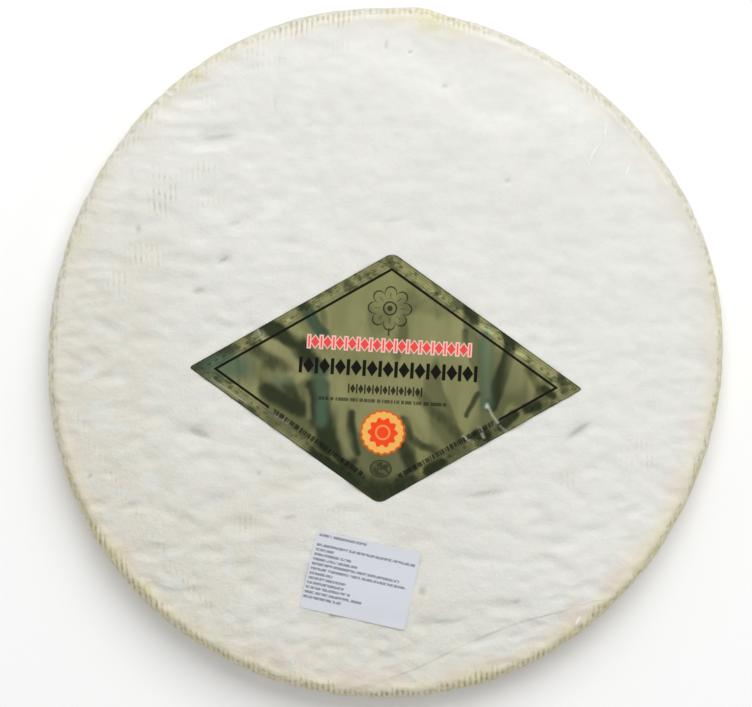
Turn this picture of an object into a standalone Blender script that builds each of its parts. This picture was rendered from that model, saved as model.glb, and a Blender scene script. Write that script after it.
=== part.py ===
"""A whole wheel of soft white-mould cheese in clear film, with its foil label and paper sticker.

The wheel lies flat with its shown face up. Its film fits it like a skin, so the
film and the cheese are one closed solid. The diamond label and the sticker are
thin sheets draped over that solid. Metres, +Z up, origin on the surface that
the wheel lies on, under the middle of its outline.
"""

import math
from collections import namedtuple

import bpy
import bmesh
from mathutils import Vector, noise

MM = 0.001

# The wheel: mean diameter, height of its face, and how its side is rounded
WHEEL_DIAMETER = 365 * MM
WHEEL_HEIGHT = 27 * MM
BULGE_HEIGHT = 12.5 * MM
SHOULDER_WIDTH = 7.5 * MM
FOOT_WIDTH = 8 * MM
SIDE_SQUARENESS = 2.3
SIDE_UNEVENNESS = 0.18
SIDE_WAVINESS = 2.5
SHOULDER_SEED = 3.1
BULGE_SEED = 5.9

# Lobes of the outline: waves round the rim, their height, direction of one crest in degrees
OUTLINE_LOBES = (
    (2, 2.1 * MM, 82.5),
    (3, 0.86 * MM, -7.8),
    (4, 0.75 * MM, 20.6),
    (5, 0.22 * MM, 7.1),
)

# A blunt corner in the outline, where the rind was nipped: direction and half width in degrees
CORNER_DIRECTION = 84.0
CORNER_HALF_WIDTH = 3.5
CORNER_HEIGHT = 1.6 * MM

# Relief of the face: swells that are longer from left to right, and a droop towards the rim
BROAD_SWELL = 0.9 * MM
BROAD_LENGTH = 80 * MM
FINE_SWELL = 0.45 * MM
FINE_LENGTH = 30 * MM
BROAD_SEED = 0.3
FINE_SEED = 7.7
NOISE_GAIN = 2
SWELL_STRETCH = 1.6
RIM_DROOP = 1.4 * MM
DROOP_POWER = 14

# Dents pressed into the face, in millimetres from its middle, each turned by some degrees
Dent = namedtuple("Dent", "x y half_length half_width depth turn")
DENTS = (
    Dent(-88.6, 113.7, 15.0, 4.5, 1.1, 10),
    Dent(-97.1, 135.7, 9.0, 4.0, 0.8, 15),
    Dent(-118.0, 130.3, 8.0, 4.0, 0.6, 20),
    Dent(-71.4, 102.5, 7.0, 4.0, 0.7, 5),
    Dent(-59.1, 83.2, 8.0, 4.0, 0.7, 8),
    Dent(-98.2, 61.8, 7.0, 4.0, 0.8, 12),
    Dent(-85.9, 49.5, 6.0, 4.0, 1.0, 30),
    Dent(-138.9, 69.8, 5.0, 9.0, 0.8, 0),
    Dent(-116.9, 37.7, 7.0, 4.5, 0.6, 5),
    Dent(34.5, 102.0, 9.0, 4.0, 0.7, 25),
    Dent(59.7, 129.8, 15.0, 9.0, 0.6, 10),
    Dent(80.0, 100.9, 14.0, 5.0, 0.5, 40),
    Dent(120.7, 61.3, 5.0, 5.0, 0.6, 0),
    Dent(-104.0, -41.2, 18.0, 4.5, 1.1, -12),
    Dent(-87.5, -76.8, 13.0, 4.5, 0.8, 10),
    Dent(-59.1, -104.1, 17.0, 4.0, 0.8, 4),
    Dent(-69.8, -117.5, 12.0, 7.0, 0.6, 0),
    Dent(102.5, -41.5, 11.0, 4.5, 1.1, 35),
    Dent(54.3, -74.7, 16.0, 4.5, 0.9, 8),
    Dent(89.1, -100.3, 17.0, 4.5, 0.8, 3),
    Dent(40.9, -114.8, 14.0, 7.0, 0.6, 5),
    Dent(30.2, -143.2, 17.0, 4.5, 0.8, 2),
    Dent(0.8, -163.0, 8.0, 4.0, 0.7, 5),
)

# The diamond label: half diagonals, centre, turn, how far each kind of corner is rounded
LABEL_HALF_LENGTH = 104.8 * MM
LABEL_HALF_HEIGHT = 67.0 * MM
LABEL_CENTRE = (0.1 * MM, -13.7 * MM)
LABEL_TURN = math.radians(-3.2)
LABEL_SHARP_ROUNDING = 2.0 * MM
LABEL_BLUNT_ROUNDING = 4.5 * MM

# The paper sticker below it
STICKER_WIDTH = 57 * MM
STICKER_HEIGHT = 42 * MM
STICKER_CENTRE = (-13.3 * MM, -121.0 * MM)
STICKER_TURN = math.radians(-12.6)
STICKER_ROUNDING = 1.5 * MM

# Both sheets lie just clear of the wheel's face
SHEET_THICKNESS = 0.4 * MM
SHEET_GAP = 0.3 * MM

# How fine the meshes are
FACE_SECTORS = 6
FACE_RINGS = 30
SHOULDER_LIFTS = (68, 46, 23, 0)
FOOT_LIFTS = (-30, -60, -90)
SHEET_SECTORS = 4
LABEL_RINGS = 13
STICKER_RINGS = 7
SMOOTH_BELOW = math.radians(50)

# Colour, roughness and metallic value of each sub-part
FINISHES = {
    "wrapped_wheel": ((0.80, 0.78, 0.72, 1), 0.35, 0.0),
    "diamond_label": ((0.16, 0.15, 0.075, 1), 0.30, 0.9),
    "paper_sticker": ((0.70, 0.73, 0.77, 1), 0.60, 0.0),
}


def clear_scene():
    for item in list(bpy.data.objects):
        bpy.data.objects.remove(item, do_unlink=True)


def lobed_radius(angle):
    """Distance from the lobes' middle to the outline."""
    radius = WHEEL_DIAMETER / 2
    for waves, height, crest in OUTLINE_LOBES:
        radius += height * math.cos(waves * (angle - math.radians(crest)))
    from_corner = math.degrees(math.remainder(angle - math.radians(CORNER_DIRECTION), math.tau))
    return radius + CORNER_HEIGHT * math.exp(-(from_corner / CORNER_HALF_WIDTH) ** 2)


def lobes_middle():
    """Where the lobes' middle lies when the whole outline is centred on the origin."""
    count = FACE_SECTORS * FACE_RINGS
    angles = [math.tau * index / count for index in range(count)]
    xs = [lobed_radius(angle) * math.cos(angle) for angle in angles]
    ys = [lobed_radius(angle) * math.sin(angle) for angle in angles]
    return Vector((-(min(xs) + max(xs)) / 2, -(min(ys) + max(ys)) / 2))


MIDDLE = lobes_middle()


def outline_point(angle, inset=0.0):
    """A point on the wheel's outline, or inset from it, as x and y."""
    radius = lobed_radius(angle) - inset
    return MIDDLE + Vector((radius * math.cos(angle), radius * math.sin(angle)))


def side_unevenness(angle, seed):
    """A factor near 1 that changes slowly round the rim."""
    spot = Vector((SIDE_WAVINESS * math.cos(angle), SIDE_WAVINESS * math.sin(angle), seed))
    return 1 + SIDE_UNEVENNESS * noise.noise(spot)


def shoulder_width(angle):
    return SHOULDER_WIDTH * side_unevenness(angle, SHOULDER_SEED)


def bulge_height(angle):
    return BULGE_HEIGHT * side_unevenness(angle, BULGE_SEED)


def swell(x, y, length, seed):
    """A smooth random wave, of about -1 to 1, that is longer along X than along Y."""
    return NOISE_GAIN * noise.noise(Vector((x / (length * SWELL_STRETCH), y / length, seed)))


def dent_depth(x, y):
    """How far the dents press the face down."""
    depth = 0.0
    for dent in DENTS:
        turn = math.radians(dent.turn)
        east = x / MM - dent.x
        north = y / MM - dent.y
        along = (east * math.cos(turn) + north * math.sin(turn)) / dent.half_length
        across = (north * math.cos(turn) - east * math.sin(turn)) / dent.half_width
        depth += dent.depth * math.exp(-along * along - across * across)
    return depth * MM


def face_height(x, y):
    """Height of the wheel's face above the surface that it lies on."""
    reach = (Vector((x, y)) - MIDDLE).length / (WHEEL_DIAMETER / 2)
    height = WHEEL_HEIGHT - RIM_DROOP * reach ** DROOP_POWER
    height += BROAD_SWELL * swell(x, y, BROAD_LENGTH, BROAD_SEED)
    height += FINE_SWELL * swell(x, y, FINE_LENGTH, FINE_SEED)
    return height - dent_depth(x, y)


def side_point(angle, lift):
    """A point of the side: lift is 90 degrees at the face, 0 at the bulge, -90 at the foot."""
    outward = math.cos(lift) ** (2 / SIDE_SQUARENESS)
    upward = abs(math.sin(lift)) ** (2 / SIDE_SQUARENESS)
    bulge = bulge_height(angle)
    if lift < 0:
        spot = outline_point(angle, FOOT_WIDTH * (1 - outward))
        return spot.to_3d() + Vector((0, 0, bulge * (1 - upward)))
    width = shoulder_width(angle)
    spot = outline_point(angle, width * (1 - outward))
    top = face_height(*outline_point(angle, width))
    return spot.to_3d() + Vector((0, 0, bulge + (top - bulge) * upward))


def face_point(reach, turn):
    """A point of the face, at 0 to 1 of the way to its edge and a turn of 0 to 1."""
    angle = math.tau * turn
    spot = MIDDLE.lerp(outline_point(angle, shoulder_width(angle)), reach)
    return Vector((spot.x, spot.y, face_height(*spot)))


def add_disc(bm, sectors, rings, place):
    """Fill a disc with even triangles, where ring number k has k corners in each sector."""
    inner = [bm.verts.new(place(0.0, 0.0))]
    for ring in range(1, rings + 1):
        count = sectors * ring
        outer = [bm.verts.new(place(ring / rings, index / count)) for index in range(count)]
        for index in range(count):
            sector, step = divmod(index, ring)
            near = inner[(index - sector) % len(inner)]
            far = outer[(index + 1) % count]
            bm.faces.new((near, outer[index], far))
            if step < ring - 1:
                bm.faces.new((near, far, inner[(index - sector + 1) % len(inner)]))
        inner = outer


def extrude_rim(bm, rim, lift):
    """Extrude the rim's edges by one row of faces, on the side's form, and return its edges."""
    grown = bmesh.ops.extrude_edge_only(bm, edges=rim)["geom"]
    for vert in grown:
        if isinstance(vert, bmesh.types.BMVert):
            spoke = vert.co.to_2d() - MIDDLE
            vert.co = side_point(math.atan2(spoke.y, spoke.x), math.radians(lift))
    edges = [edge for edge in grown if isinstance(edge, bmesh.types.BMEdge)]
    return [edge for edge in edges if edge.is_boundary]


def rounded_outline(corners, roundings, turn):
    """The point at a turn of 0 to 1 round a closed outline with its corners rounded."""
    count = len(corners)
    side = int(turn * count) % count
    start = corners[side]
    end = corners[(side + 1) % count]
    along = turn * count - side
    length = (end - start).length
    ends = (
        (start, end, corners[side - 1], roundings[side], along * length),
        (end, start, corners[(side + 2) % count], roundings[(side + 1) % count], length - along * length),
    )
    for corner, ahead, behind, rounding, distance in ends:
        if distance < rounding:
            share = (1 + distance / rounding) / 2
            tangent_ahead = corner + (ahead - corner).normalized() * rounding
            tangent_behind = corner + (behind - corner).normalized() * rounding
            return tangent_behind.lerp(corner, share).lerp(corner.lerp(tangent_ahead, share), share)
    return start.lerp(end, along)


def make_material(name):
    colour, roughness, metallic = FINISHES[name]
    material = bpy.data.materials.new(name)
    material.use_nodes = True
    shader = material.node_tree.nodes["Principled BSDF"]
    shader.inputs["Base Color"].default_value = colour
    shader.inputs["Roughness"].default_value = roughness
    shader.inputs["Metallic"].default_value = metallic
    return material


def make_object(name, bm, parent):
    """Turn a bmesh into a named object with its own material."""
    mesh = bpy.data.meshes.new(name)
    bm.to_mesh(mesh)
    bm.free()
    mesh.shade_smooth()
    mesh.set_sharp_from_angle(angle=SMOOTH_BELOW)
    mesh.materials.append(make_material(name))
    item = bpy.data.objects.new(name, mesh)
    item.parent = parent
    bpy.context.scene.collection.objects.link(item)
    return item


def make_wheel(parent):
    """The cheese in its film: a dented face, a rounded side and a flat underside."""
    bm = bmesh.new()
    add_disc(bm, FACE_SECTORS, FACE_RINGS, face_point)
    rim = [edge for edge in bm.edges if edge.is_boundary]
    for lift in SHOULDER_LIFTS + FOOT_LIFTS:
        rim = extrude_rim(bm, rim, lift)
    bmesh.ops.edgeloop_fill(bm, edges=rim)
    bmesh.ops.recalc_face_normals(bm, faces=bm.faces)
    make_object("wrapped_wheel", bm, parent)


def make_sheet(name, corners, roundings, rings, centre, turn, parent):
    """A thin sheet with the given outline, draped over the wheel's face."""
    middle = Vector(centre)

    def draped_point(reach, outline_turn):
        flat = rounded_outline(corners, roundings, outline_turn) * reach
        cosine = math.cos(turn)
        sine = math.sin(turn)
        x = middle.x + flat.x * cosine - flat.y * sine
        y = middle.y + flat.x * sine + flat.y * cosine
        return Vector((flat.x, flat.y, face_height(x, y) + SHEET_GAP))

    bm = bmesh.new()
    add_disc(bm, SHEET_SECTORS, rings, draped_point)
    sheet = make_object(name, bm, parent)
    sheet.location = middle.to_3d()
    sheet.rotation_euler.z = turn
    solidify = sheet.modifiers.new("thickness", "SOLIDIFY")
    solidify.thickness = SHEET_THICKNESS
    solidify.offset = 1


def make_diamond_label(parent):
    corners = (
        Vector((LABEL_HALF_LENGTH, 0)),
        Vector((0, LABEL_HALF_HEIGHT)),
        Vector((-LABEL_HALF_LENGTH, 0)),
        Vector((0, -LABEL_HALF_HEIGHT)),
    )
    roundings = (LABEL_SHARP_ROUNDING, LABEL_BLUNT_ROUNDING) * 2
    make_sheet("diamond_label", corners, roundings, LABEL_RINGS, LABEL_CENTRE, LABEL_TURN, parent)


def make_paper_sticker(parent):
    half_width = STICKER_WIDTH / 2
    half_height = STICKER_HEIGHT / 2
    corners = (
        Vector((half_width, -half_height)),
        Vector((half_width, half_height)),
        Vector((-half_width, half_height)),
        Vector((-half_width, -half_height)),
    )
    roundings = (STICKER_ROUNDING,) * SHEET_SECTORS
    make_sheet("paper_sticker", corners, roundings, STICKER_RINGS, STICKER_CENTRE, STICKER_TURN, parent)


def main():
    clear_scene()
    base = bpy.data.objects.new("wheel_base", None)
    bpy.context.scene.collection.objects.link(base)
    make_wheel(base)
    make_diamond_label(base)
    make_paper_sticker(base)


main()
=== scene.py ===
"""The looks of a whole white-mould cheese wheel in clear film, with a foil label and a paper sticker.

Laid out as a Blender add-on and run as a script: each operator dresses one piece
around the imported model, and main() calls them in order. Metres, +Z up.
"""

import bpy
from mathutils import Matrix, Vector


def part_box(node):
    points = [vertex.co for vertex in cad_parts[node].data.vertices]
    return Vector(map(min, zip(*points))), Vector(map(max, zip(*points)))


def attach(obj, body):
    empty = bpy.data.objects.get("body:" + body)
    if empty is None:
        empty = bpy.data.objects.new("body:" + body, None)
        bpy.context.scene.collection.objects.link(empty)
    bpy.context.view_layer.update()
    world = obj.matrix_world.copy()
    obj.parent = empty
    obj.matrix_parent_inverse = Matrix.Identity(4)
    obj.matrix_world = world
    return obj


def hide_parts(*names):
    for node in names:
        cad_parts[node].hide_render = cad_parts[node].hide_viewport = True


bl_info = {
    "name": "Film-wrapped cheese wheel",
    "version": (1, 0, 0),
    "blender": (4, 5, 0),
    "location": "3D View > Sidebar > Cheese",
    "description": "Makes the rind, film, foil label, sticker and studio of a wrapped cheese wheel",
    "category": "Object",
}

import math
from collections import namedtuple

import bpy
import numpy as np
from mathutils import Vector, noise

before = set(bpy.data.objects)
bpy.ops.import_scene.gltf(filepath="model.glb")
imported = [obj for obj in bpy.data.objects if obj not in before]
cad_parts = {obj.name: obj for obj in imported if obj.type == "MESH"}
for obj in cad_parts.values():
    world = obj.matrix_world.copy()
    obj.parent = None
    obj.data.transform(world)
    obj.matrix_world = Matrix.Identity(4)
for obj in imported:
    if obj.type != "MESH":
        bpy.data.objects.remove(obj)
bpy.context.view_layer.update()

MM = 0.001
ROOT = "root"

# The wheel's form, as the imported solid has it
WHEEL_RADIUS = 182.5 * MM
WHEEL_HEIGHT = 27 * MM
BULGE_HEIGHT = 12.5 * MM
SHOULDER_WIDTH = 7.5 * MM
FOOT_WIDTH = 8 * MM
SIDE_SQUARENESS = 2.3
SIDE_UNEVENNESS = 0.18
SIDE_WAVINESS = 2.5
OUTLINE_LOBES = (
    (2, 2.1 * MM, 82.5),
    (3, 0.86 * MM, -7.8),
    (4, 0.75 * MM, 20.6),
    (5, 0.22 * MM, 7.1),
)
OUTLINE_SAMPLES = 180
CORNER_DIRECTION = 84.0
CORNER_HALF_WIDTH = 3.5
CORNER_HEIGHT = 1.6 * MM
BROAD_SWELL = 0.9 * MM
BROAD_LENGTH = 80 * MM
FINE_SWELL = 0.45 * MM
FINE_LENGTH = 30 * MM
SWELL_STRETCH = 1.6
RIM_DROOP = 1.4 * MM
DROOP_POWER = 14
NOISE_GAIN = 2
SHOULDER_SEED = 3.1
BULGE_SEED = 5.9
BROAD_SEED = 0.3
FINE_SEED = 7.7

# Dents in the face, in millimetres from its middle, each turned by some degrees
Dent = namedtuple("Dent", "x y half_length half_width depth turn")
DENTS = [Dent(*row) for row in (
    (-88.6, 113.7, 15, 4.5, 1.1, 10), (-97.1, 135.7, 9, 4, 0.8, 15), (-118, 130.3, 8, 4, 0.6, 20),
    (-71.4, 102.5, 7, 4, 0.7, 5), (-59.1, 83.2, 8, 4, 0.7, 8), (-98.2, 61.8, 7, 4, 0.8, 12),
    (-85.9, 49.5, 6, 4, 1, 30), (-138.9, 69.8, 5, 9, 0.8, 0), (-116.9, 37.7, 7, 4.5, 0.6, 5),
    (34.5, 102, 9, 4, 0.7, 25), (59.7, 129.8, 15, 9, 0.6, 10), (80, 100.9, 14, 5, 0.5, 40),
    (120.7, 61.3, 5, 5, 0.6, 0), (-104, -41.2, 18, 4.5, 1.1, -12), (-87.5, -76.8, 13, 4.5, 0.8, 10),
    (-59.1, -104.1, 17, 4, 0.8, 4), (-69.8, -117.5, 12, 7, 0.6, 0), (102.5, -41.5, 11, 4.5, 1.1, 35),
    (54.3, -74.7, 16, 4.5, 0.9, 8), (89.1, -100.3, 17, 4.5, 0.8, 3), (40.9, -114.8, 14, 7, 0.6, 5),
    (30.2, -143.2, 17, 4.5, 0.8, 2), (0.8, -163, 8, 4, 0.7, 5),
)]
# Smaller pits and nicks that only the rind has, under the film
PITS = [Dent(*row) for row in (
    (-85.9, 49.5, 4.2, 1.1, 0.7, 27), (31.3, 141.6, 1.6, 1.2, 0.8, 20), (13.1, 159.8, 1.4, 1.1, 0.6, 0),
    (0.3, 163.5, 1, 3.4, 0.5, -6), (-58.6, 132.5, 1.3, 6, 0.35, 4), (65, 91.3, 2.6, 1.6, 0.5, 10),
    (3.5, 70.4, 8, 2.2, 0.35, 6), (-39.9, 121.2, 3.2, 1.8, 0.4, 15), (-80.5, 68.8, 6, 2, 0.4, 12),
    (-131.4, 65.6, 2.2, 3.6, 0.5, 0), (-99.3, 32.9, 5, 2, 0.5, 5), (-67.7, -64, 1.8, 1.3, 0.6, 0),
    (-60.7, -57, 1.5, 1.2, 0.5, 0), (-99.3, -43, 6, 1.8, 0.8, -18), (-51.1, -87.5, 5.5, 1.8, 0.5, 5),
    (-28.6, -140.5, 1.8, 1.4, 0.6, 0), (-157.1, -65.6, 1.8, 1.4, 0.6, 30),
    (69.3, -132.5, 4, 1.6, 0.5, 10), (19.5, -127.1, 2.6, 2.6, 0.7, 0), (102.5, -41.5, 8, 1.6, 0.6, 35),
    (54.3, -74.7, 13, 1.7, 0.5, 8), (30.2, -143.2, 13, 1.5, 0.5, 3), (-88.6, 114.7, 13, 1.6, 0.4, 8),
)]

# Print of the draining mat in the rind: ridges along Y, strongest at the rim and faint in patches
MAT_WANDER = 0.55
MAT_WANDER_LENGTH = 60 * MM
MAT_TICK_LENGTH = 3.2 * MM
MAT_SEED = 11.3
# How unevenly the print ends, how wide its start is, and the share of its width where it fades
MAT_RIM_UNEVEN = 0.9
MAT_RISE = 1.4 * MM
MAT_FADE = 0.6
# A clear print has whole ridges up to this share, and ticks for the rest
MAT_WHOLE = 0.7
MAT_WEAR = 0.9
MAT_WEAR_LENGTH = 24 * MM
# Neighbouring ridges lie this far apart in the noise that breaks them up
MAT_RIDGE_STEP = 0.73
# The print at the rim by direction in degrees: how clear it is, and where it starts and ends
# inside the outline, in millimetres
MatPrint = namedtuple("MatPrint", "direction clarity start end")
MAT_PRINTS = [MatPrint(*row) for row in (
    (0, 0.4, 0.5, 4), (30, 0.3, 1.6, 5), (68, 0.4, 1.6, 6), (82, 1, 0.1, 7), (106, 0.9, 1.7, 8),
    (120, 0.55, 1.9, 8), (150, 0.4, 1.2, 7), (195, 0.45, 0.3, 5), (215, 0.75, 0.1, 6), (250, 0.9, 0, 6.5),
    (265, 1, 0, 6), (288, 1, 0, 6.5), (304, 0.6, 0, 6), (330, 0.35, 0.1, 5), (345, 0.35, 0.4, 4),
    (360, 0.4, 0.5, 4),
)]
Patch = namedtuple("Patch", "x y half_width half_height strength")
MAT_PATCHES = [Patch(*row) for row in (
    (-118.5, 83, 8, 13, 0.8), (-126, 52, 13, 6.5, 0.6), (-143, 38, 7, 8, 0.55), (-99, 97, 12, 5, 0.4),
    (-93, 81, 8, 4, 0.3), (-66, 157, 13, 6, 0.4), (-27, 163, 7, 7, 0.3), (-96, 134, 14, 5, 0.2),
    (-74, -92, 6, 6, 0.5), (96, -67.5, 6, 4, 0.4), (136, -55, 10, 8, 0.4), (-14, -87, 22, 8, 0.25),
    (-46, -167, 9, 5, 0.4),
)]
# A long row of short mat ticks inside the lower left of the rim, in millimetres
TICK_ROW = ((-165.1, -30.8), (-147.4, -62.9), (-126.0, -95.0), (-104.6, -124.4), (-77.9, -148.5))
TICK_ROW_WIDTH = 1.5
TICK_ROW_STRENGTH = 0.5
TICK_ROW_LENGTH = 0.6 * MAT_TICK_LENGTH
# Yellow-green stains in the rim: middle, radius and strength, in millimetres
Stain = namedtuple("Stain", "x y radius strength")
STAINS = [Stain(*row) for row in (
    (24, 179.5, 9, 1), (37, 173, 5, 0.6), (5, 180, 6, 0.5), (-145, -108.5, 6, 0.9), (-166, 62, 8, 0.5),
    (-101.4, 148, 4, 1), (-108, 142.5, 3.5, 0.9), (-118, 134.5, 3, 0.6), (-128, -127, 4, 0.8),
    (150, -104, 9, 0.5), (177, 30, 4, 0.5), (47, -178, 12, 0.6), (98, -151, 6, 0.6), (117, -137, 6, 0.75),
    (129, -124, 5, 0.6), (138, -115, 5, 0.5),
)]

# Creases in the film, white as a painted highlight, and its free edge, a painted shade line, as lines in
# millimetres
FILM_CREASES = (
    ((100.5, 133.5), (98, 127), (96.5, 121.5)), ((117.5, 123.5), (116.5, 113.5)),
    ((112.5, 109.5), (109, 103), (107.5, 98.5)), ((129.5, 99), (127.5, 93.5)),
    ((-117, 139), (-114, 136.5)), ((101, -145), (103.5, -140.5)),
)
FILM_EDGES = (
    ((-13, -180.2), (0.8, -173.7), (18.5, -167.2), (45.2, -153.9), (72, -143.2), (93.4, -137.8),
     (109.4, -132.5), (119, -131)),
)

# Reflections painted into the foil's colour, in millimetres: lines, how wide they are to each side and how
# strong
Shade = namedtuple("Shade", "corners half_width strength")
DARK_REFLECTIONS = [Shade(*row) for row in (
    (((-101.4, -7.2), (-91.3, -2.4), (-84, 0.5)), 4.5, 0.7),
    (((-66.1, 17.4), (-59.1, 12), (-51.1, 6.7), (-44.2, 0.8)), 3.8, 1),
    (((-44.7, 2.9), (-39.3, -4.1), (-35, -9)), 4.4, 0.85),
    (((-45.2, 28.1), (-41.5, 21.7), (-37.5, 15), (-33.5, 10)), 3.2, 0.8),
    (((-36.1, -18.4), (-35.1, -30.8), (-30.5, -49)), 5.6, 0.9), (((-27, -50), (-20, -58)), 4.5, 0.8),
    (((-62.9, -20), (-54.9, -24.4), (-45.8, -29.7)), 4.5, 0.8), (((-52.2, -17.4), (-48, -26.5)), 4, 0.7),
    (((-68.8, 1.3), (-60.7, -4), (-54.4, -8.5)), 4, 0.6), (((-78.5, -4), (-78, -16)), 1.8, 0.5),
    (((-64.2, -13), (-63.7, -22.7)), 2.6, 0.45), (((-18.5, -33), (-18, -44), (-15.5, -53)), 2.2, 0.75),
    (((65.1, 13), (66, 3.3), (62.9, -9.4), (59, -20.1), (55.9, -28.1)), 3, 1),
    (((43.6, 23.8), (47.4, 17.4)), 2.4, 0.8),
    (((18.5, -22.4), (24.5, -30.8), (32.5, -37.3), (40.9, -46.8)), 3, 0.5),
    (((10, -36.1), (13, -45.2), (19, -50.2), (27, -51.2)), 2.4, 0.62),
    (((8.8, -49.5), (12, -55), (14.2, -61)), 3.4, 0.65),
    (((49, -22.2), (46, -28.5), (43.2, -33.8)), 1.4, 0.7), (((42.5, 11.3), (42.8, 1.4)), 1.8, 0.5),
    (((76, -9), (79.5, -15), (83, -21)), 2.8, 0.55), (((-6, 14), (12, 28), (28, 24)), 6, 0.4),
    (((-19, -67.2), (-2.9, -74), (13.1, -70.4)), 6, 0.75),
    (((-96, -16), (-84, -24.5), (-71, -32)), 2.2, 0.6),
    (((-42, -52.5), (-31, -59.5), (-16, -69)), 3.2, 0.9), (((23, -63), (30, -58.5)), 2.6, 0.9),
    (((34.4, -54.2), (38, -51.8)), 2.2, 0.45), (((48.4, -43.5), (53.8, -43.9)), 3.2, 0.9),
    (((62.5, -39.1), (67.8, -33.4)), 2.6, 0.85), (((74.7, -29.3), (80.1, -28.6)), 2.7, 0.8),
    (((84.7, -19.3), (89.1, -23.6)), 2.4, 0.8), (((93, -12), (95.5, -20.5)), 2.3, 0.62),
    (((-17, 44), (-13, 38)), 2, 0.45), (((25, 38), (28, 33.5)), 1.8, 0.5),
)]
COOL_REFLECTIONS = [Shade(*row) for row in (
    (((-35, -9), (-33.4, -24.7), (-34.5, -36.4)), 3, 0.9), (((-40.5, 19), (-36, 11), (-32, 6)), 3.2, 0.8),
    (((52.6, 8.6), (53.6, -10.4), (53.3, -27)), 3, 0.9), (((-92, -8), (-77, -7.5)), 5.6, 0.9),
    (((-58, -13.5), (-52, -15)), 3, 0.5),
)]
LIGHT_REFLECTIONS = [Shade(*row) for row in (
    (((-24, -16.3), (-22.7, -38.8), (-19.6, -54.3)), 2.4, 0.7), (((-41.6, -20), (-41.2, -34)), 1.1, 0.45),
    (((12, -27.7), (21.1, -40.4), (30.2, -51.1)), 2.2, 0.5),
    (((-72.8, -4.5), (-72.8, -14.8), (-70.4, -25.3)), 2.6, 0.5),
    (((-62, 2.8), (-50, -1), (-45.8, -8.3)), 2.4, 0.6), (((-52, 15), (-46, 8.5)), 2, 0.6),
    (((-64.1, -12.4), (-53.8, -13.6), (-46.5, -13.9)), 2.2, 0.5), (((-36.1, 4), (-27, 7.8)), 2.4, 0.4),
    (((53.8, 6.6), (53.6, -12.4), (53.8, -23)), 1.4, 0.9), (((69.6, -4.5), (68, -17)), 4, 0.5),
    (((-57, -42), (-43, -50.5)), 2.2, 0.7),
)]
GLINTS = [Shade(*row) for row in (
    (((53.3, -27), (56.9, -33.5), (60, -37)), 0.45, 0.7), (((49.5, -39.9), (52.2, -45.2)), 0.5, 0.6),
    (((61.5, -38.5), (65, -42.5)), 0.4, 0.5), (((41, -44.5), (44.5, -46.5)), 0.5, 0.6),
    (((-58.5, -34), (-50, -39)), 0.7, 0.22), (((-68.5, 11.8), (-64.5, 7.5)), 0.45, 0.6),
    (((-92, -14), (-74, -26.5)), 0.4, 0.45), (((53.3, -28.2), (53.6, -28.6)), 0.8, 1),
)]

# How the diamond label and the sticker are cut and turned
LABEL_HALF_LENGTH = 104.8 * MM
LABEL_HALF_HEIGHT = 67.0 * MM
LABEL_TURN = math.radians(-3.2)
LABEL_ROUNDINGS = (2.0 * MM, 4.5 * MM, 2.0 * MM, 4.5 * MM)
STICKER_WIDTH = 57 * MM
STICKER_HEIGHT = 42 * MM
STICKER_TURN = math.radians(-12.6)
STICKER_ROUNDING = 1.5 * MM

# The camera looks straight down. The picture's size and the wheel's middle in it are in pixels
PICTURE_WIDTH = 752
PICTURE_HEIGHT = 707
METRES_PER_PIXEL = 0.5352 * MM
WHEEL_MIDDLE_IN_PICTURE = (385.5, 352.5)
SENSOR_WIDTH = 36.0


def linear_colour(description, *levels):
    """A colour property whose default is given as linear light."""
    return bpy.props.FloatVectorProperty(
        description=description, default=levels, size=3, subtype="COLOR", min=0, max=1)


def screen_colour(description, *levels):
    """A colour property whose default is given in screen levels of 0 to 255."""
    shares = [level / 255 for level in levels]
    linear = [share / 12.92 if share <= 0.04045 else ((share + 0.055) / 1.055) ** 2.4 for share in shares]
    return linear_colour(description, *linear)


def length_property(description, default):
    return bpy.props.FloatProperty(
        description=description, default=default, min=0, precision=5, unit="LENGTH")


def share_property(description, default):
    return bpy.props.FloatProperty(
        description=description, default=default, min=0, max=1, subtype="FACTOR")


class RindSettings(bpy.types.PropertyGroup):
    """Sizes and colours of the mould-covered rind."""
    mould: screen_colour("White mould of the face", 226, 226, 220)
    # Thin mould, and also darker than the mould as painted shade: mixed in towards the lower left
    shade: screen_colour("Face where the mould is thin", 216, 213, 201)
    moss: screen_colour("Cool patches of the face", 218, 221, 214)
    rose: screen_colour("Warm specks of the face", 226, 219, 214)
    blush: screen_colour("Pinkish rind just inside the rim", 222, 208, 195)
    cream: screen_colour("Rind at the rim", 220, 216, 203)
    straw: screen_colour("Rind at the lower rim", 228, 220, 191)
    pale_edge: screen_colour("Bare rind at the upper edge", 213, 210, 201)
    tan_edge: screen_colour("Bare rind at the lower edge", 216, 204, 168)
    lime: screen_colour("Yellow-green stains in the rim", 207, 203, 146)
    ridge: screen_colour("Light crests of the mat's print", 226, 221, 203)
    golden_ridge: screen_colour("Light crests at the lower rim", 231, 220, 186)
    groove: screen_colour("Bottom of the mat's grooves", 177, 171, 147)
    # Painted shade: a dark line where the lower side turns away from the light
    lower_outline_shade: screen_colour("Dark line along the lower outline", 150, 143, 112)
    spot: screen_colour("Olive spots in the rim", 178, 175, 142)
    tan_groove: screen_colour("Bottom of the lower rim's grooves", 158, 144, 105)
    # Thin mould in the dents, which also paints shade in them and on their lit lower slopes
    dent_mould_and_shade: screen_colour("Thin mould in the dents", 184, 186, 178)
    nick: screen_colour("Bare rind in small pits", 158, 160, 148)
    mat_pitch: length_property("Distance between two ridges of the mat", 2.89 * MM)
    mat_depth: length_property("Depth of the grooves at the rim", 0.45 * MM)
    fold_height: length_property("Height of the skin's small folds", 0.66 * MM)
    roughness: share_property("Roughness of the mould", 0.85)


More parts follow.
